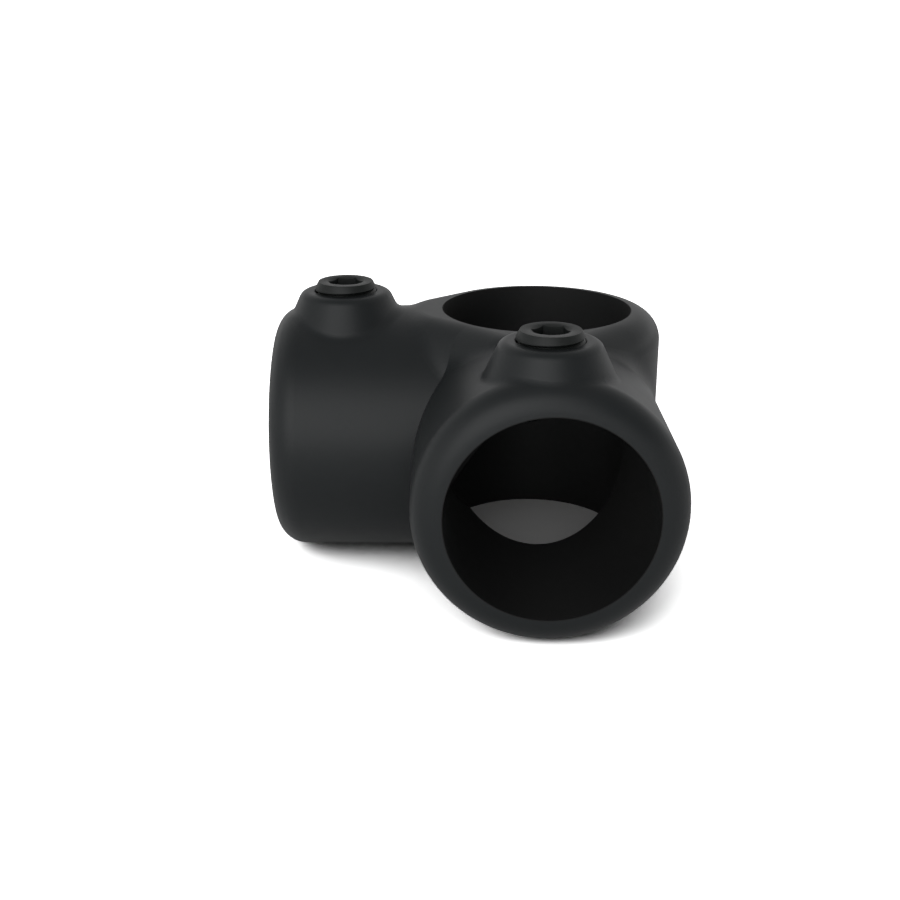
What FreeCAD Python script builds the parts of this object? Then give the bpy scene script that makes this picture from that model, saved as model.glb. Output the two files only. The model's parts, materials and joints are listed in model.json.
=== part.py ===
# Corner tube connector: one iron casting with an upright collar and two sockets at right angles to it
# and to each other, and a hex socket set screw for each of the three tubes.
# The three bore axes meet at the origin. The upright runs along Z, the front socket opens towards -Y
# and the side socket towards -X.
import FreeCAD, Part
import Sketcher
import math
import os

# Driving dimensions, in millimetres and degrees
SIZES = [
    ("tube_diameter", 48.3, "outside diameter of the tubes that are joined"),
    ("socket_clearance", 1.2, "bore of the two sockets over the tube's diameter"),
    ("upright_clearance", 1.4, "bore of the upright collar over the tube's diameter"),
    ("wall", 7.6, "wall of the two sockets"),
    ("collar_margin", 0.2, "collar beyond the sockets, all round and at both ends"),
    ("web_reach", 5.6, "web from the collar's wall into the top and bottom of a socket"),
    ("web_slope", 42.0, "slope of that web's flanks from the socket's axis"),
    ("mouth_land", 0.25, "flat ring left between a bore and its rounded lip"),
    ("front_reach", 67.5, "upright axis to the front socket's mouth"),
    ("side_reach", 69.0, "upright axis to the side socket's mouth"),
    ("blend", 8.0, "fillet where a socket grows out of the casting"),
    ("front_overhang", 3.5, "foot of the front boss over the front socket's lip"),
    ("side_overhang", 2.5, "foot of the side boss over the side socket's lip"),
    ("boss_rise", 5.05, "top of a boss above the wall that it stands on"),
    ("boss_flare", 25.0, "slope of a boss's flank from its axis"),
    ("boss_land", 1.6, "flat ring round the countersink on top of a boss"),
    ("boss_edge", 2.5, "rounding of a boss's top edge"),
    ("boss_foot", 3.0, "fillet at the foot of a boss"),
    ("screw_diameter", 16.0, "outside diameter of a set screw's thread"),
    ("screw_play", 0.05, "radial play between a set screw and its hole"),
    ("hole_countersink", 0.25, "chamfer at the top of a screw hole"),
    ("screw_length", 14.0, "length of a set screw"),
    ("screw_stand_out", 2.5, "set screw above its boss while the tube is free"),
    ("screw_chamfer", 1.2, "chamfer round a set screw's top"),
    ("point_chamfer", 2.0, "chamfer down to a set screw's cup point"),
    ("cup_depth", 2.5, "hollow of the cup point"),
    ("key_flats", 8.0, "hex socket across its flats"),
    ("key_depth", 7.0, "depth of the hex socket"),
    ("key_lead_in", 0.3, "countersink of the hex socket beyond its corners"),
    ("key_lead_slope", 30.0, "slope of that countersink from the screw's top"),
]

# Lengths that follow from the driving dimensions
SOCKET_BORE = "((sizes.tube_diameter + sizes.socket_clearance) / 2)"
UPRIGHT_BORE = "((sizes.tube_diameter + sizes.upright_clearance) / 2)"
SOCKET_OUTER = f"({SOCKET_BORE} + sizes.wall)"
SOCKET_LIP = "(sizes.wall - sizes.mouth_land)"
COLLAR_OUTER = f"({SOCKET_OUTER} + sizes.collar_margin)"
COLLAR_LIP = f"({COLLAR_OUTER} - {UPRIGHT_BORE} - sizes.mouth_land)"
WEB_STATION = "(sizes.web_reach / (1 - sin(sizes.web_slope)))"
WEB_NOSE = f"({COLLAR_OUTER} - {WEB_STATION} * sin(sizes.web_slope))"
SCREW_RADIUS = "(sizes.screw_diameter / 2)"
HOLE_RADIUS = f"({SCREW_RADIUS} + sizes.screw_play)"
SINK_RADIUS = f"({HOLE_RADIUS} + sizes.hole_countersink)"
BOSS_CREST = f"({SINK_RADIUS} + sizes.boss_land + sizes.boss_edge * tan(45 - sizes.boss_flare / 2))"
BOSS_FOOT = f"({BOSS_CREST} + sizes.boss_rise * tan(sizes.boss_flare))"
FRONT_STATION = f"(sizes.front_reach - {SOCKET_LIP} - {BOSS_FOOT} + sizes.front_overhang)"
SIDE_STATION = f"(sizes.side_reach - {SOCKET_LIP} - {BOSS_FOOT} + sizes.side_overhang)"
MITRE_SPAN = "(sizes.front_reach + sizes.side_reach)"
FLANK_END = "(sizes.wall / 3)"
SOCKET_BOSS_TOP = f"({SOCKET_OUTER} + sizes.boss_rise)"
COLLAR_BOSS_TOP = f"({COLLAR_OUTER} + sizes.boss_rise)"
POINT_RADIUS = f"({SCREW_RADIUS} - sizes.point_chamfer)"
KEY_CORNER = "(sizes.key_flats / sqrt(3))"
KEY_SINK = f"({KEY_CORNER} + sizes.key_lead_in)"

HEX_SIDES = 6
# Turns, in degrees
MITRE_TURN = 45
QUARTER_TURN = 90
HALF_TURN = 180
# Faces that meet at less than this many degrees run on smoothly
SMOOTH_ANGLE = 2.0
# Lengths that differ by less than this are the same
CLOSE = 1e-6

ORIGIN = FreeCAD.Vector()
X_AXIS = FreeCAD.Vector(1, 0, 0)
Y_AXIS = FreeCAD.Vector(0, 1, 0)
Z_AXIS = FreeCAD.Vector(0, 0, 1)

doc = FreeCAD.newDocument("corner_tube_connector")
sheet = doc.addObject("Spreadsheet::Sheet", "sizes")
for row, (alias, number, meaning) in enumerate(SIZES, start=1):
    sheet.set(f"A{row}", meaning)
    sheet.set(f"B{row}", str(number))
    sheet.setAlias(f"B{row}", alias)
doc.recompute()


def length(expression):
    result = sheet.evalExpression(expression)
    return float(getattr(result, "Value", result))


# Sketches

def add_sketch(body, name, plane_role):
    sketch = body.newObject("Sketcher::SketchObject", name)
    plane = next(p for p in body.Origin.OriginFeatures if p.Role == plane_role)
    sketch.AttachmentSupport = (plane, [""])
    sketch.MapMode = "FlatFace"
    return sketch


def bind_constraint(sketch, constraint, expression):
    index = sketch.addConstraint(constraint)
    sketch.setExpression(f"Constraints[{index}]", expression)


def circle_sketch(body, name, plane_role, radius):
    sketch = add_sketch(body, name, plane_role)
    circle = Part.Circle(FreeCAD.Vector(), FreeCAD.Vector(0, 0, 1), length(radius))
    sketch.addGeometry(circle)
    sketch.addConstraint(Sketcher.Constraint("Coincident", 0, 3, -1, 1))
    bind_constraint(sketch, Sketcher.Constraint("Radius", 0, length(radius)), radius)
    return sketch


# Outline of the collar with the web on one side of it: an arc round the upright axis and a tighter one
# round a point towards -X, joined by the straight lines that touch both, all turned about the upright
def web_sketch(body, name, turn):
    sketch = add_sketch(body, name, "XY_Plane")
    slope = math.radians(length("sizes.web_slope"))
    first, last = math.pi / 2 + slope, 3 * math.pi / 2 - slope
    wide = Part.Circle(ORIGIN, Z_AXIS, length(COLLAR_OUTER))
    tight = Part.Circle(FreeCAD.Vector(-length(WEB_STATION), 0, 0), Z_AXIS, length(WEB_NOSE))
    outline = [
        Part.ArcOfCircle(wide, last - 2 * math.pi, first),
        Part.LineSegment(wide.value(first), tight.value(first)),
        Part.ArcOfCircle(tight, first, last),
        Part.LineSegment(tight.value(last), wide.value(last)),
    ]
    sketch.addGeometry(outline)
    count = len(outline)
    for i in range(count):
        sketch.addConstraint(Sketcher.Constraint("Tangent", i, 2, (i + 1) % count, 1))
    sketch.addConstraint(Sketcher.Constraint("Coincident", 0, 3, -1, 1))
    sketch.addConstraint(Sketcher.Constraint("PointOnObject", 2, 3, -1))
    bind_constraint(sketch, Sketcher.Constraint("Radius", 0, wide.Radius), COLLAR_OUTER)
    bind_constraint(sketch, Sketcher.Constraint("Radius", 2, tight.Radius), WEB_NOSE)
    station = Sketcher.Constraint("DistanceX", 2, 3, -1, 1, length(WEB_STATION))
    bind_constraint(sketch, station, WEB_STATION)
    sketch.AttachmentOffset = FreeCAD.Placement(ORIGIN, FreeCAD.Rotation(Z_AXIS, turn))
    return sketch


# Closed outline of half a section: each corner is a radius from the sketch's vertical axis and a
# height, and a corner whose radius is None lies on that axis
def section_sketch(body, name, plane_role, corners):
    sketch = add_sketch(body, name, plane_role)
    points = [FreeCAD.Vector(length(r) if r else 0, length(z), 0) for r, z in corners]
    count = len(points)
    for i in range(count):
        sketch.addGeometry(Part.LineSegment(points[i], points[(i + 1) % count]))
    for i in range(count):
        sketch.addConstraint(Sketcher.Constraint("Coincident", i, 2, (i + 1) % count, 1))
    for i, (radius, height) in enumerate(corners):
        if radius:
            across = Sketcher.Constraint("DistanceX", -1, 1, i, 1, points[i].x)
            bind_constraint(sketch, across, radius)
        else:
            sketch.addConstraint(Sketcher.Constraint("PointOnObject", i, 1, -2))
        up = Sketcher.Constraint("DistanceY", -1, 1, i, 1, points[i].y)
        bind_constraint(sketch, up, height)
    return sketch


def hexagon_sketch(body, name, plane_role, corner_radius):
    sketch = add_sketch(body, name, plane_role)
    size = length(corner_radius)
    turn = 2 * math.pi / HEX_SIDES
    points = [
        FreeCAD.Vector(size * math.cos(i * turn), size * math.sin(i * turn), 0) for i in range(HEX_SIDES)
    ]
    for i in range(HEX_SIDES):
        sketch.addGeometry(Part.LineSegment(points[i], points[(i + 1) % HEX_SIDES]))
    circle = sketch.addGeometry(Part.Circle(FreeCAD.Vector(), FreeCAD.Vector(0, 0, 1), size), True)
    sketch.addConstraint(Sketcher.Constraint("Coincident", circle, 3, -1, 1))
    for i in range(HEX_SIDES):
        sketch.addConstraint(Sketcher.Constraint("Coincident", i, 2, (i + 1) % HEX_SIDES, 1))
        sketch.addConstraint(Sketcher.Constraint("PointOnObject", i, 1, circle))
    for i in range(1, HEX_SIDES):
        sketch.addConstraint(Sketcher.Constraint("Equal", 0, i))
    sketch.addConstraint(Sketcher.Constraint("PointOnObject", 0, 1, -1))
    bind_constraint(sketch, Sketcher.Constraint("Radius", circle, size), corner_radius)
    return sketch


# Features

def add_feature(body, kind, name, profile):
    feature = body.newObject(f"PartDesign::{kind}", name)
    feature.Profile = profile
    return feature


def turn_section(body, kind, name, sketch):
    feature = add_feature(body, kind, name, sketch)
    feature.ReferenceAxis = (sketch, ["V_Axis"])
    feature.Angle = 360
    feature.Refine = kind == "Revolution"
    doc.recompute()
    return feature


def round_edges(body, name, edges, radius):
    fillet = body.newObject("PartDesign::Fillet", name)
    fillet.Base = (fillet.BaseFeature, edges)
    fillet.setExpression("Radius", radius)
    doc.recompute()
    return fillet


def same_line(point, direction, axis, through):
    return (point - through).cross(axis).Length < CLOSE and direction.cross(axis).Length < CLOSE


# Names of the circles of a given radius round an axis
def rim_edges(shape, axis, through, radius):
    names = []
    for number, edge in enumerate(shape.Edges, start=1):
        curve = edge.Curve
        if not isinstance(curve, Part.Circle) or abs(curve.Radius - radius) > CLOSE:
            continue
        if same_line(curve.Center, curve.Axis, axis, through):
            names.append(f"Edge{number}")
    return names


def normal_at(face, point):
    u, v = face.Surface.parameter(point)
    return face.normalAt(u, v)


# Names of the edges where a face that is wanted meets another at an angle
def crease_edges(shape, wanted):
    names = []
    for number, edge in enumerate(shape.Edges, start=1):
        faces = shape.ancestorsOfType(edge, Part.Face)
        if len(faces) != 2 or wanted(faces[0]) == wanted(faces[1]):
            continue
        middle = edge.valueAt((edge.FirstParameter + edge.LastParameter) / 2)
        angle = normal_at(faces[0], middle).getAngle(normal_at(faces[1], middle))
        if math.degrees(angle) > SMOOTH_ANGLE:
            names.append(f"Edge{number}")
    return names


def turned_face(face, kind, axis, through):
    surface = face.Surface
    return isinstance(surface, kind) and same_line(surface.Center, surface.Axis, axis, through)


def check_removed(feature):
    if feature.Shape.Volume >= feature.BaseFeature.Shape.Volume:
        raise RuntimeError(f"{feature.Name} cut nothing")


# The casting

def add_collar(body, name, turn):
    outline = web_sketch(body, f"{name}_collar_outline", turn)
    collar = add_feature(body, "Pad", f"{name}_collar", outline)
    collar.SideType = "Symmetric"
    collar.setExpression("Length", f"2 * {COLLAR_OUTER}")
    doc.recompute()
    rims = [
        f"Edge{number}" for number, edge in enumerate(collar.Shape.Edges, start=1)
        if edge.BoundBox.ZLength < CLOSE
    ]
    round_edges(body, f"{name}_collar_lips", rims, COLLAR_LIP)


def add_socket(body, name, plane_role, axis, reversed_pad, reach):
    sketch = circle_sketch(body, f"{name}_outline", plane_role, SOCKET_OUTER)
    socket = add_feature(body, "Pad", f"{name}_socket", sketch)
    socket.Reversed = reversed_pad
    socket.setExpression("Length", reach)
    doc.recompute()
    rims = rim_edges(socket.Shape, axis, ORIGIN, length(SOCKET_OUTER))
    lip = round_edges(body, f"{name}_lip", rims, SOCKET_LIP)
    creases = crease_edges(lip.Shape, lambda face: turned_face(face, Part.Cylinder, axis, ORIGIN))
    round_edges(body, f"{name}_blend", creases, "sizes.blend")


# A boss is turned about the vertical axis of its sketch, which stands off the upright axis by the
# station, and its screw hole is cut round the same axis. Its flank ends inside the wall, short of the
# bore, and runs straight down from there
def add_boss(body, name, plane_role, axis, bore, top, station=None):
    end = f"({bore} + {FLANK_END})"
    root = f"({BOSS_CREST} + ({top} - {end}) * tan(sizes.boss_flare))"
    corners = [(None, bore), (root, bore), (root, end), (BOSS_CREST, top), (None, top)]
    sketch = section_sketch(body, f"{name}_boss_section", plane_role, corners)
    if station:
        sketch.setExpression("AttachmentOffset.Base.x", f"-{station}")
    boss = turn_section(body, "Revolution", f"{name}_boss", sketch)
    through = sketch.Placement.Base
    crests = rim_edges(boss.Shape, axis, through, length(BOSS_CREST))
    edge = round_edges(body, f"{name}_boss_edge", crests, "sizes.boss_edge")
    creases = crease_edges(edge.Shape, lambda face: turned_face(face, Part.Cone, axis, through))
    round_edges(body, f"{name}_boss_foot", creases, "sizes.boss_foot")


def cut_screw_hole(body, name, plane_role, top, station=None):
    corners = [
        (None, "0"),
        (HOLE_RADIUS, "0"),
        (HOLE_RADIUS, f"{top} - sizes.hole_countersink"),
        (SINK_RADIUS, top),
        (None, top),
    ]
    sketch = section_sketch(body, f"{name}_hole_section", plane_role, corners)
    if station:
        sketch.setExpression("AttachmentOffset.Base.x", f"-{station}")
    check_removed(turn_section(body, "Groove", f"{name}_screw_hole", sketch))


# A bore is cut from the meeting point of the axes out through its mouth
def cut_bore(body, name, plane_role, radius, reversed_cut):
    sketch = circle_sketch(body, f"{name}_bore_outline", plane_role, radius)
    bore = add_feature(body, "Pocket", f"{name}_bore", sketch)
    bore.Type = "ThroughAll"
    bore.Reversed = reversed_cut
    bore.Refine = False
    doc.recompute()
    check_removed(bore)


# The half of the casting round one socket ends in the upright plane between the two sockets, where it
# meets the other half
def cut_mitre(body, name, turn):
    corners = [
        (f"-{MITRE_SPAN}", "0"),
        (MITRE_SPAN, "0"),
        (MITRE_SPAN, MITRE_SPAN),
        (f"-{MITRE_SPAN}", MITRE_SPAN),
    ]
    sketch = section_sketch(body, f"{name}_mitre_outline", "XY_Plane", corners)
    sketch.AttachmentOffset = FreeCAD.Placement(ORIGIN, FreeCAD.Rotation(Z_AXIS, turn))
    mitre = add_feature(body, "Pocket", f"{name}_mitre", sketch)
    mitre.SideType = "Symmetric"
    mitre.setExpression("Length", f"2 * {MITRE_SPAN}")
    doc.recompute()
    check_removed(mitre)


# Each half has its collar and web, its socket and its bosses, so that the blends of one socket don't
# run along the other
def make_casting():
    front = doc.addObject("PartDesign::Body", "front_half")
    add_collar(front, "front", QUARTER_TURN)
    add_socket(front, "front", "XZ_Plane", Y_AXIS, False, "sizes.front_reach")
    add_boss(front, "front", "YZ_Plane", Z_AXIS, SOCKET_BORE, SOCKET_BOSS_TOP, FRONT_STATION)
    cut_mitre(front, "front", MITRE_TURN)
    body = doc.addObject("PartDesign::Body", "cast_body")
    body.Label = "cast_body"
    add_collar(body, "side", 0)
    add_socket(body, "side", "YZ_Plane", X_AXIS, True, "sizes.side_reach")
    add_boss(body, "side", "XZ_Plane", Z_AXIS, SOCKET_BORE, SOCKET_BOSS_TOP, SIDE_STATION)
    add_boss(body, "upright", "XY_Plane", Y_AXIS, UPRIGHT_BORE, COLLAR_BOSS_TOP)
    cut_mitre(body, "side", MITRE_TURN + HALF_TURN)
    join = body.newObject("PartDesign::Boolean", "join")
    join.setObjects([front])
    join.Type = "Fuse"
    doc.recompute()
    cut_bore(body, "upper", "XY_Plane", UPRIGHT_BORE, True)
    cut_bore(body, "lower", "XY_Plane", UPRIGHT_BORE, False)
    cut_bore(body, "side", "YZ_Plane", SOCKET_BORE, False)
    cut_bore(body, "front", "XZ_Plane", SOCKET_BORE, True)
    cut_screw_hole(body, "side", "XZ_Plane", SOCKET_BOSS_TOP, SIDE_STATION)
    cut_screw_hole(body, "front", "YZ_Plane", SOCKET_BOSS_TOP, FRONT_STATION)
    cut_screw_hole(body, "upright", "XY_Plane", COLLAR_BOSS_TOP)
    return body


# A set screw stands with its top at its own origin and its cup point below

def make_set_screw(name, turn, rise_axis, top, station_axis=None, station=None):
    body = doc.addObject("PartDesign::Body", name)
    body.Label = name
    corners = [
        (None, "0"),
        (f"{SCREW_RADIUS} - sizes.screw_chamfer", "0"),
        (SCREW_RADIUS, "-sizes.screw_chamfer"),
        (SCREW_RADIUS, "sizes.point_chamfer - sizes.screw_length"),
        (POINT_RADIUS, "-sizes.screw_length"),
        (None, "sizes.cup_depth - sizes.screw_length"),
    ]
    section = section_sketch(body, f"{name}_section", "XZ_Plane", corners)
    turn_section(body, "Revolution", f"{name}_blank", section)
    hexagon = hexagon_sketch(body, f"{name}_hexagon", "XY_Plane", KEY_CORNER)
    key = add_feature(body, "Pocket", f"{name}_key_socket", hexagon)
    key.setExpression("Length", "sizes.key_depth")
    doc.recompute()
    check_removed(key)
    sink = [(None, "0"), (KEY_SINK, "0"), (None, f"-{KEY_SINK} * tan(sizes.key_lead_slope)")]
    lead_in = section_sketch(body, f"{name}_lead_in_section", "XZ_Plane", sink)
    check_removed(turn_section(body, "Groove", f"{name}_lead_in", lead_in))
    body.Placement = FreeCAD.Placement(FreeCAD.Vector(), turn)
    body.setExpression(f"Placement.Base.{rise_axis}", f"{top} + sizes.screw_stand_out")
    if station_axis:
        body.setExpression(f"Placement.Base.{station_axis}", f"-{station}")
    doc.recompute()
    return body


UPWARDS = FreeCAD.Rotation()
UPWARDS_QUARTER_TURN = FreeCAD.Rotation(Z_AXIS, QUARTER_TURN)
BACKWARDS = FreeCAD.Rotation(X_AXIS, -QUARTER_TURN)

parts = [
    make_casting(),
    make_set_screw("front_set_screw", UPWARDS_QUARTER_TURN, "z", SOCKET_BOSS_TOP, "y", FRONT_STATION),
    make_set_screw("side_set_screw", UPWARDS, "z", SOCKET_BOSS_TOP, "x", SIDE_STATION),
    make_set_screw("upright_set_screw", BACKWARDS, "y", COLLAR_BOSS_TOP),
]
doc.recompute()

for item in doc.Objects:
    if "Invalid" in item.State or "Error" in item.State:
        raise RuntimeError(f"{item.Name} failed: {item.State}")
for part in parts:
    if part.Shape.isNull() or not part.Shape.isValid() or len(part.Shape.Solids) != 1:
        raise RuntimeError(f"{part.Label} is not one valid solid")

os.makedirs("parts", exist_ok=True)
for part in parts:
    part.Shape.exportStep(f"parts/{part.Label}.step")
    box = part.Shape.BoundBox
    print(part.Label, round(part.Shape.Volume, 1), len(part.Shape.Faces), box)
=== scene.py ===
import bmesh
import bpy
import json
import math
from mathutils import Matrix, Vector


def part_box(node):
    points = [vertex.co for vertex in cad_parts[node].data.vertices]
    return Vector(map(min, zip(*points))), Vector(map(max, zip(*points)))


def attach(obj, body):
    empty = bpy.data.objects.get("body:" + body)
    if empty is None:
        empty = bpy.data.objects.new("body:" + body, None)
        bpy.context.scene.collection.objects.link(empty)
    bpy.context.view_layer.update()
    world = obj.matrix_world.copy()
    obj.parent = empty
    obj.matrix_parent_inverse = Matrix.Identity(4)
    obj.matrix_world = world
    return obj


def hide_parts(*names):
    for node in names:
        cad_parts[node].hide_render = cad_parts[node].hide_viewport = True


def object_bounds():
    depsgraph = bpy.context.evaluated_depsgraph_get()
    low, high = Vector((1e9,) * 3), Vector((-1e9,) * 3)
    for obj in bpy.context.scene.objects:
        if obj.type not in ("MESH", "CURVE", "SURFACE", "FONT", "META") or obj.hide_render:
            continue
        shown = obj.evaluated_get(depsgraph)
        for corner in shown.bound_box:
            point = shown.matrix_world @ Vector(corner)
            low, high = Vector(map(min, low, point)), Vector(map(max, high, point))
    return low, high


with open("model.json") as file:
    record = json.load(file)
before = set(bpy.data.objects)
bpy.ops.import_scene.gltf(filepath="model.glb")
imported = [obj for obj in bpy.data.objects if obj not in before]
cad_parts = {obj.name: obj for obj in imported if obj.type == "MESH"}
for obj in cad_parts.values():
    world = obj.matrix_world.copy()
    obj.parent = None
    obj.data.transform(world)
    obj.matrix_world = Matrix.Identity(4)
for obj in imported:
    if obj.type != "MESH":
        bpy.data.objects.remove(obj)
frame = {"nodes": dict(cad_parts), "record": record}
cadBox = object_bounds()     # the CAD model's own box
print("frame loaded:", ", ".join(sorted(frame["nodes"])))


# Shader maths: a socket that can be added, scaled and compared like a number

class Socket:
    def __init__(self, tree, source):
        self.tree = tree
        self.source = source

    # any node: its type, its settings, and the values or links of its sockets
    def make(self, kind, settings=None, inputs=None, output=0):
        node = self.tree.nodes.new(kind)
        for name, value in (settings or {}).items():
            setattr(node, name, value)
        for name, value in (inputs or {}).items():
            if isinstance(value, Socket):
                self.tree.links.new(value.source, node.inputs[name])
            else:
                node.inputs[name].default_value = value
        return Socket(self.tree, node.outputs[output]) if node.outputs else None

    # another output of the node that this socket belongs to
    def sister(self, name):
        return Socket(self.tree, self.source.node.outputs[name])

    def maths(self, operation, first, second):
        return self.make("ShaderNodeMath", {"operation": operation}, {0: first, 1: second})

    def __add__(self, other):
        return self.maths("ADD", self, other)

    def __radd__(self, other):
        return self.maths("ADD", other, self)

    def __sub__(self, other):
        return self.maths("SUBTRACT", self, other)

    def __rsub__(self, other):
        return self.maths("SUBTRACT", other, self)

    def __mul__(self, other):
        return self.maths("MULTIPLY", self, other)

    def __rmul__(self, other):
        return self.maths("MULTIPLY", other, self)

    def __lt__(self, other):
        return self.maths("LESS_THAN", self, other)

    def __gt__(self, other):
        return self.maths("GREATER_THAN", self, other)


def grey(level):
    return (level, level, level, 1.0)


def newMaterial(name):
    material = bpy.data.materials.new(name)
    material.use_nodes = True
    tree = material.node_tree
    tree.nodes.clear()
    coords = Socket(tree, tree.nodes.new("ShaderNodeTexCoord").outputs["Object"])
    return material, coords


# sockets 6 and 7 and output 2 are the colour ones of a Mix node
def blendColour(factor, low, high):
    return factor.make(
        "ShaderNodeMix", {"data_type": "RGBA"}, {"Factor": factor, 6: low, 7: high}, output=2
    )


def noise(coords, scale, detail):
    return coords.make("ShaderNodeTexNoise", None, {"Vector": coords, "Scale": scale, "Detail": detail})


def bump(height, depth, under=None):
    inputs = {"Height": height, "Distance": depth, "Strength": 1.0}
    if under:
        inputs["Normal"] = under
    return height.make("ShaderNodeBump", None, inputs)


# distance from an axis through the origin; across has a 1 for each direction that counts
def offAxis(coords, across):
    flat = coords.make("ShaderNodeVectorMath", {"operation": "MULTIPLY"}, {0: coords, 1: across})
    return flat.make("ShaderNodeVectorMath", {"operation": "LENGTH"}, {0: flat}).sister("Value")


def shadeWith(coords, inputs):
    shader = coords.make("ShaderNodeBsdfPrincipled", None, inputs)
    shader.make("ShaderNodeOutputMaterial", None, {"Surface": shader})


# Finish of the casting: satin powder coat over a cast skin, rougher inside the bores, where painted shade
# darkens the colour
castCoat = {
    "dark": (0.0090, 0.0111, 0.0120, 1.0),
    "light": (0.0112, 0.0135, 0.0146, 1.0),
    # painted shade: the bore walls are given darker colours than the outside
    "boreShadeDark": (0.0032, 0.0034, 0.0034, 1.0),
    "boreShadeLight": (0.0052, 0.0055, 0.0055, 1.0),
    "boreMargin": 0.0001,        # walls this far outside a bore's radius still count as bore
    "roughLow": 0.39,
    "roughHigh": 0.48,
    "boreRough": 0.18,           # how much rougher the bores are
    "ior": 1.38,
    "mottleScale": 140.0,        # patches of about 7 mm
    "mottleDetail": 3.0,
    "mottleShare": 0.6,          # of the change in roughness; the grain has the rest
    "peelScale": 1100.0,         # orange peel, about 0.9 mm
    "peelDetail": 1.0,
    "peelDepth": 0.000012,
    "grainScale": 4200.0,        # powder grain, about 0.25 mm
    "grainDetail": 2.0,
    "grainDepth": 0.000005,
}


millimetre = 0.001               # the record gives its bores in millimetres


# 1 on the walls of the upright bore and of the two sockets, which open towards -X and -Y
def boreMask(coords):
    widest = max(mount["dims"]["r_mm"] for mount in frame["record"]["mounts"])
    reach = widest * millimetre + castCoat["boreMargin"]
    x = coords.make("ShaderNodeSeparateXYZ", None, {"Vector": coords})
    y = x.sister("Y")
    upright = offAxis(coords, (1, 1, 0)) < reach
    side = (offAxis(coords, (0, 1, 1)) < reach) * (x < 0.0)
    front = (offAxis(coords, (1, 0, 1)) < reach) * (y < 0.0)
    return 1 - (1 - upright) * (1 - side) * (1 - front)


def makeCastCoat():
    material, coords = newMaterial("castCoat")
    mottle = noise(coords, castCoat["mottleScale"], castCoat["mottleDetail"])
    peel = noise(coords, castCoat["peelScale"], castCoat["peelDetail"])
    grain = noise(coords, castCoat["grainScale"], castCoat["grainDetail"])
    bore = boreMask(coords)
    outside = blendColour(mottle, castCoat["dark"], castCoat["light"])
    # painted shade on the bore walls: darker colours, varied by the grain
    inside = blendColour(grain, castCoat["boreShadeDark"], castCoat["boreShadeLight"])
    spread = castCoat["roughHigh"] - castCoat["roughLow"]
    share = castCoat["mottleShare"]
    roughness = castCoat["roughLow"] + spread * (share * mottle + (1 - share) * grain)
    skin = bump(peel, castCoat["peelDepth"])
    shadeWith(coords, {
        "Base Color": blendColour(bore, outside, inside),
        "Roughness": roughness + castCoat["boreRough"] * bore,
        "IOR": castCoat["ior"],
        "Normal": bump(grain, castCoat["grainDepth"], skin),
    })
    return material


# Finish of the set screws: blackened steel
screwBlack = {
    "dark": (0.0062, 0.0081, 0.0075, 1.0),
    "light": (0.0101, 0.0121, 0.0115, 1.0),
    "roughLow": 0.44,
    "roughHigh": 0.56,
    "ior": 1.38,
    "mottleScale": 500.0,        # stains of about 2 mm
    "mottleDetail": 3.0,
    "grainScale": 6000.0,        # grain of about 0.2 mm
    "grainDetail": 2.0,
    "grainDepth": 0.000004,
}


def makeScrewBlack():
    material, coords = newMaterial("screwBlack")
    mottle = noise(coords, screwBlack["mottleScale"], screwBlack["mottleDetail"])
    grain = noise(coords, screwBlack["grainScale"], screwBlack["grainDetail"])
    spread = screwBlack["roughHigh"] - screwBlack["roughLow"]
    shadeWith(coords, {
        "Base Color": blendColour(mottle, screwBlack["dark"], screwBlack["light"]),
        "Roughness": screwBlack["roughLow"] + spread * grain,
        "IOR": screwBlack["ior"],
        "Normal": bump(grain, screwBlack["grainDepth"]),
    })
    return material


# Mesh helpers

weldGap = 1e-7                   # points closer than this are one


def meshObject(name, bm):
    mesh = bpy.data.meshes.new(name)
    bm.to_mesh(mesh)
    bm.free()
    piece = bpy.data.objects.new(name, mesh)
    bpy.context.scene.collection.objects.link(piece)
    return piece


def addLine(bm, points):
    verts = [bm.verts.new(p) for p in points]
    edges = [bm.edges.new(pair) for pair in zip(verts, verts[1:])]
    return verts + edges


# closed solid turned about Z from a half-section of (radius, height)
def turned(name, section, steps):
    bm = bmesh.new()
    line = addLine(bm, [(r, 0.0, z) for r, z in section])
    bmesh.ops.spin(
        bm, geom=line, cent=(0, 0, 0), axis=(0, 0, 1), angle=math.tau, steps=steps, use_merge=True
    )
    bmesh.ops.remove_doubles(bm, verts=bm.verts, dist=weldGap)
    bmesh.ops.recalc_face_normals(bm, faces=bm.faces)
    return meshObject(name, bm)


# one solid cut or trimmed by others, as a finished mesh
def carve(name, blank, tools):
    for operation, tool in tools:
        modifier = blank.modifiers.new(operation.lower(), "BOOLEAN")
        modifier.operation = operation
        modifier.solver = "EXACT"
        modifier.object = tool
    bpy.context.view_layer.update()
    shaped = blank.evaluated_get(bpy.context.evaluated_depsgraph_get())
    mesh = bpy.data.meshes.new_from_object(shaped)
    mesh.name = name
    for spent in [blank] + [tool for _, tool in tools]:
        bpy.data.objects.remove(spent)
    piece = bpy.data.objects.new(name, mesh)
    bpy.context.scene.collection.objects.link(piece)
    return piece


def smoothUpTo(mesh, angle):
    bm = bmesh.new()
    bm.from_mesh(mesh)
    for face in bm.faces:
        face.smooth = True
    for edge in bm.edges:
        edge.smooth = len(edge.link_faces) == 2 and edge.calc_face_angle(0.0) < angle
    bm.to_mesh(mesh)
    bm.free()


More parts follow.
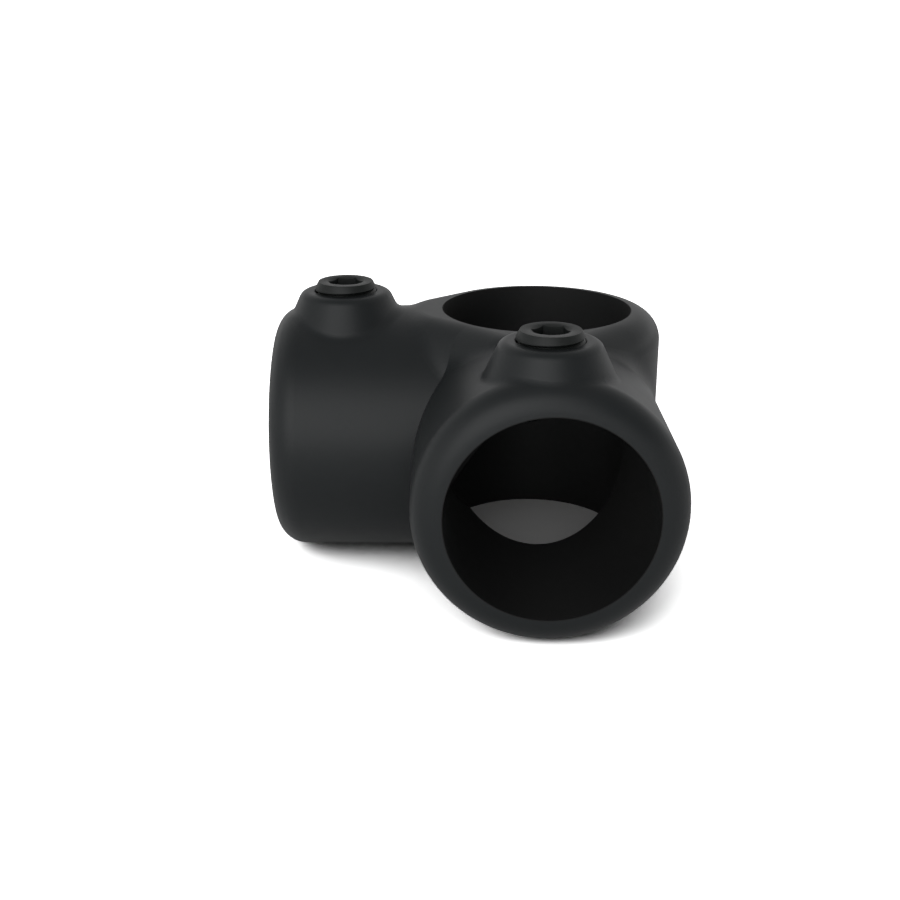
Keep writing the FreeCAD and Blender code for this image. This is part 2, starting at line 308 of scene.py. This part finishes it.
# Set screws: threaded shank, hex socket with a countersunk mouth, cup point
setScrew = {
    "pitch": 0.0020,
    "threadDepth": 0.0009,
    "crestFlat": 0.28,           # shares of the pitch
    "rootFlat": 0.12,
    "spareTurns": 1.5,           # thread past each end before it is trimmed
    "runOutLow": 0.0024,         # depths below the top between which the thread runs out
    "runOutHigh": 0.0015,
    "turnSteps": 96,
    "topEdge": 0.0009,           # the tapered top edge: how far in, and how far down
    "topTaper": 0.0016,
    "pointChamfer": 0.0020,
    "cupDepth": 0.0025,
    "keySides": 6,
    "keyFlats": 0.0080,
    "keyDepth": 0.0070,
    "keyDrill": 30.0,            # slope of the drilled bottom, degrees
    "leadIn": 0.0003,
    "leadSlope": 30.0,
    "overrun": 0.0010,           # cutting tools reach this far past what they cut
    "sharpAngle": 32.0,
}
# for each node: the piece's name, the body it rides on, and the turns of its key socket and its thread
screws = {
    "front_set_screw": {"name": "FrontSetScrew", "body": "front_screw", "key": -12.0, "thread": 195.0},
    "side_set_screw": {"name": "SideSetScrew", "body": "side_screw", "key": 0.0, "thread": 200.0},
    "upright_set_screw": {"name": "UprightSetScrew", "body": "upright_screw", "key": 0.0, "thread": 120.0},
}


# thread with its top turn above the origin
def threadRod(radius, length):
    pitch = setScrew["pitch"]
    root = radius - setScrew["threadDepth"]
    rootEnd = pitch * setScrew["rootFlat"]
    crestEnd = (pitch + rootEnd + pitch * setScrew["crestFlat"]) / 2     # midway between two roots
    profile = [
        (root, 0.0),
        (root, rootEnd),
        (radius, pitch + rootEnd - crestEnd),
        (radius, crestEnd),
        (root, pitch),
    ]
    spare = setScrew["spareTurns"]
    turns = math.ceil(length / pitch + 2 * spare)
    start = -length - pitch * spare
    bm = bmesh.new()
    line = addLine(bm, [(r, 0.0, start + z) for r, z in profile])
    bmesh.ops.spin(
        bm, geom=line, cent=(0, 0, 0), axis=(0, 0, 1), dvec=(0, 0, pitch / setScrew["turnSteps"]),
        angle=math.tau * turns, steps=setScrew["turnSteps"] * turns, use_merge=False,
    )
    bmesh.ops.remove_doubles(bm, verts=bm.verts, dist=weldGap)
    # near the top the roots grow out to the crest's radius
    runOut = setScrew["runOutLow"] - setScrew["runOutHigh"]
    for vert in bm.verts:
        share = min(max((vert.co.z + setScrew["runOutLow"]) / runOut, 0.0), 1.0)
        grown = 1 + share * (radius / vert.co.xy.length - 1)
        vert.co.x *= grown
        vert.co.y *= grown
    bmesh.ops.holes_fill(bm, edges=[e for e in bm.edges if e.is_boundary], sides=0)
    bmesh.ops.recalc_face_normals(bm, faces=bm.faces)
    return meshObject("threadRod", bm)


def screwBlank(radius, length):
    top = radius - setScrew["topEdge"]
    taper = setScrew["topTaper"] / setScrew["topEdge"]
    point = radius - setScrew["pointChamfer"]
    spare = setScrew["overrun"]
    section = [
        (0.0, 0.0),
        (top, 0.0),
        (radius + spare, -setScrew["topTaper"] - spare * taper),
        (radius + spare, setScrew["pointChamfer"] + spare - length),
        (point, -length),
        (0.0, setScrew["cupDepth"] - length),
    ]
    return turned("screwBlank", section, setScrew["turnSteps"])


def keySocket():
    corner = setScrew["keyFlats"] / math.sqrt(3)
    spare = setScrew["overrun"]
    drill = corner * math.tan(math.radians(setScrew["keyDrill"]))
    section = [
        (0.0, spare),
        (corner, spare),
        (corner, -setScrew["keyDepth"]),
        (0.0, -setScrew["keyDepth"] - drill),
    ]
    return turned("keySocket", section, setScrew["keySides"])


def keyLeadIn():
    mouth = setScrew["keyFlats"] / math.sqrt(3) + setScrew["leadIn"]
    slope = math.tan(math.radians(setScrew["leadSlope"]))
    spare = setScrew["overrun"]
    section = [
        (0.0, spare),
        (mouth + spare / slope, spare),
        (0.0, -mouth * slope),
    ]
    return turned("keyLeadIn", section, setScrew["turnSteps"])


def turnZ(degrees):
    return Matrix.Rotation(math.radians(degrees), 4, "Z")


def travelAxis(body):
    joints = frame["record"]["behaviour"]["joints"]
    return Vector(next(joint["axis"] for joint in joints if joint["child"] == body))


# a screw is carved with its top at the origin, then stood on its own axis
def makeSetScrew(node, screw):
    low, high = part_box(node)
    axis = travelAxis(screw["body"])
    size = high - low
    length = size.dot(axis)
    radius = (sum(size) - length) / 4    # the two sides across the axis are a diameter each
    rod = threadRod(radius, length)
    rod.data.transform(turnZ(screw["thread"]))
    key = keySocket()
    key.data.transform(turnZ(screw["key"]))
    tools = [
        ("INTERSECT", screwBlank(radius, length)),
        ("DIFFERENCE", key),
        ("DIFFERENCE", keyLeadIn()),
    ]
    piece = carve(screw["name"], rod, tools)
    smoothUpTo(piece.data, math.radians(setScrew["sharpAngle"]))
    top = (low + high + axis * length) / 2
    lean = Vector((0, 0, 1)).rotation_difference(axis).to_matrix().to_4x4()
    piece.data.transform(Matrix.Translation(top) @ lean)
    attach(piece, screw["body"])
    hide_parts(node)
    return piece


blackSteel = makeScrewBlack()
for node, screw in screws.items():
    piece = makeSetScrew(node, screw)
    piece.data.materials.clear()
    piece.data.materials.append(blackSteel)
    print("screw made:", piece.name, len(piece.data.polygons), "faces")

casting = frame["nodes"]["cast_body"]
casting.data.materials.clear()
casting.data.materials.append(makeCastCoat())
print("casting coated")


# Floor and backdrop: white to the eye and in reflections, with the real shadow of the casting kept and a
# painted contact shadow added
studio = {
    "floorSize": 12.0,           # half its width
    "floorShade": 0.80,          # what the floor sends back as light
    "floorWhite": 3.6,           # how fast the floor comes up to white out of a shadow
    "floorGloss": 1.0,           # its colour in reflections
    "footPaintedShade": 0.53,           # painted shade on the floor inside the collar's foot, and how far out it goes
    "footReach": 0.028,
    "contactReach": 0.08,        # how far the painted contact shadow reaches out from the casting
    "contactDark": 0.125,        # open shares of the sky between which that painted shadow ends
    "contactClear": 0.44,
    "contactLean": (-0.5, -0.1, 1.0),    # leans towards the light, so the painted shadow falls the other way
    "contactRays": 16,
}


# 0 up to the start of a range, 1 past its end
def fadeIn(value, start, end, curve="SMOOTHSTEP"):
    return value.make(
        "ShaderNodeMapRange",
        {"interpolation_type": curve},
        {"Value": value, "From Min": start, "From Max": end},
    )


# 1 for what the eye sees, and 1 for what shows in or through a surface
def lookingRays(socket):
    camera = socket.make("ShaderNodeLightPath").sister("Is Camera Ray")
    mirrored = camera.sister("Is Glossy Ray") + camera.sister("Is Transmission Ray")
    return camera, mirrored


def makeFloor(height):
    bm = bmesh.new()
    bmesh.ops.create_grid(bm, x_segments=1, y_segments=1, size=studio["floorSize"])
    bmesh.ops.translate(bm, verts=bm.verts, vec=(0, 0, height))
    floor = meshObject("floor", bm)
    material, coords = newMaterial("floorWhite")
    camera, mirrored = lookingRays(coords)
    foot = offAxis(coords, (1, 1, 0)) < studio["footReach"]
    lean = Vector(studio["contactLean"]).normalized()
    towardsLight = coords.make("ShaderNodeCombineXYZ", None, dict(zip("XYZ", lean)))
    # painted contact shadow: ambient occlusion darkens the floor's colour as the eye sees it, on top of
    # its real shading
    openSky = coords.make(
        "ShaderNodeAmbientOcclusion",
        {"samples": studio["contactRays"]},
        {"Distance": studio["contactReach"], "Normal": towardsLight},
    ).sister("AO")
    lit = fadeIn(openSky, studio["contactDark"], studio["contactClear"], "LINEAR")
    seenWithPaintedShadow = blendColour(lit, grey(0.0), grey(studio["floorWhite"]))
    colour = blendColour(mirrored, grey(studio["floorShade"]), grey(studio["floorGloss"]))
    colour = blendColour(camera, colour, seenWithPaintedShadow)
    # painted shade: the floor under the collar's foot takes a darker colour for every ray
    colour = blendColour(foot, colour, grey(studio["footPaintedShade"]))
    matt = coords.make("ShaderNodeBsdfDiffuse", None, {"Color": colour})
    matt.make("ShaderNodeOutputMaterial", None, {"Surface": matt})
    floor.data.materials.append(material)


# Dome: pale at the horizon and behind the casting, darker in front and overhead;
# the eye sees it white, and reflections see it white at the horizon
dome = {
    "horizon": 0.72,
    "back": 0.60,
    "front": 0.22,
    "zenith": 0.34,
    "horizonBand": (0.11, 0.23),     # heights, as sines, over which the horizon's level ends
    "zenithBand": (0.62, 0.82),      # and over which the zenith's begins
    "backBand": (-0.30, 0.30),       # depths over which the front's level turns into the back's
}


def makeWorld():
    world = bpy.data.worlds.new("studioDome")
    bpy.context.scene.world = world
    world.use_nodes = True
    tree = world.node_tree
    tree.nodes.clear()
    direction = Socket(tree, tree.nodes.new("ShaderNodeTexCoord").outputs["Generated"])
    depth = direction.make("ShaderNodeSeparateXYZ", None, {"Vector": direction}).sister("Y")
    height = depth.sister("Z")
    middle = dome["front"] + (dome["back"] - dome["front"]) * fadeIn(depth, *dome["backBand"])
    low = 1 - fadeIn(height, *dome["horizonBand"])
    high = fadeIn(height, *dome["zenithBand"])
    level = middle + (dome["horizon"] - middle) * low + (dome["zenith"] - middle) * high
    camera, mirrored = lookingRays(direction)
    level = level + (1 - level) * (camera + mirrored * low)
    sky = level.make("ShaderNodeBackground", None, {"Color": grey(1.0), "Strength": level})
    sky.make("ShaderNodeOutputWorld", None, {"Surface": sky})


# Lamps: a large soft box in front, a little to the left, and a wider, weaker one on its left;
# azimuths go from the front towards the left, and a box of level 1 has a white face
lamps = {
    "frontBox": {"azimuth": 17.0, "height": 27.0, "distance": 1.0, "size": (1.05, 0.92), "level": 1.38},
    "leftBox": {"azimuth": 45.0, "height": 28.0, "distance": 1.0, "size": (1.40, 0.60), "level": 0.55},
}


def makeLamp(name, lamp):
    light = bpy.data.lights.new(name, "AREA")
    light.shape = "RECTANGLE"
    light.size, light.size_y = lamp["size"]
    light.energy = math.pi * light.size * light.size_y * lamp["level"]
    azimuth = math.radians(lamp["azimuth"])
    height = math.radians(lamp["height"])
    away = Vector((
        -math.sin(azimuth) * math.cos(height),
        -math.cos(azimuth) * math.cos(height),
        math.sin(height),
    ))
    holder = bpy.data.objects.new(name, light)
    holder.location = lamp["distance"] * away
    holder.rotation_euler = (-away).to_track_quat("-Z", "Y").to_euler()
    bpy.context.scene.collection.objects.link(holder)


makeFloor(cadBox[0].z)
makeWorld()
for name, lamp in lamps.items():
    makeLamp(name, lamp)
print("studio lit")


# Camera: where the photograph was taken from, in the part's own frame
viewpoint = {
    "place": (-0.02297, -0.33177, 0.11502),
    "levelTilt": 90.0,               # a camera that isn't tilted looks straight down
    "pitch": -20.287,
    "turn": -0.024,
    "roll": 0.037,
    "focalPixels": 1282.8,
    "framePixels": 900.0,
    "sensor": 36.0,
    "nearest": 0.01,
}


def makeCamera():
    data = bpy.data.cameras.new("photoCamera")
    data.sensor_width = viewpoint["sensor"]
    data.lens = viewpoint["focalPixels"] / viewpoint["framePixels"] * viewpoint["sensor"]
    data.clip_start = viewpoint["nearest"]
    camera = bpy.data.objects.new("photoCamera", data)
    camera.location = viewpoint["place"]
    tilt = viewpoint["levelTilt"] + viewpoint["pitch"]
    camera.rotation_euler = [
        math.radians(angle) for angle in (tilt, viewpoint["roll"], viewpoint["turn"])
    ]
    bpy.context.scene.collection.objects.link(camera)
    bpy.context.scene.camera = camera


makeCamera()
bpy.context.scene.view_settings.view_transform = "Standard"
print("camera placed")
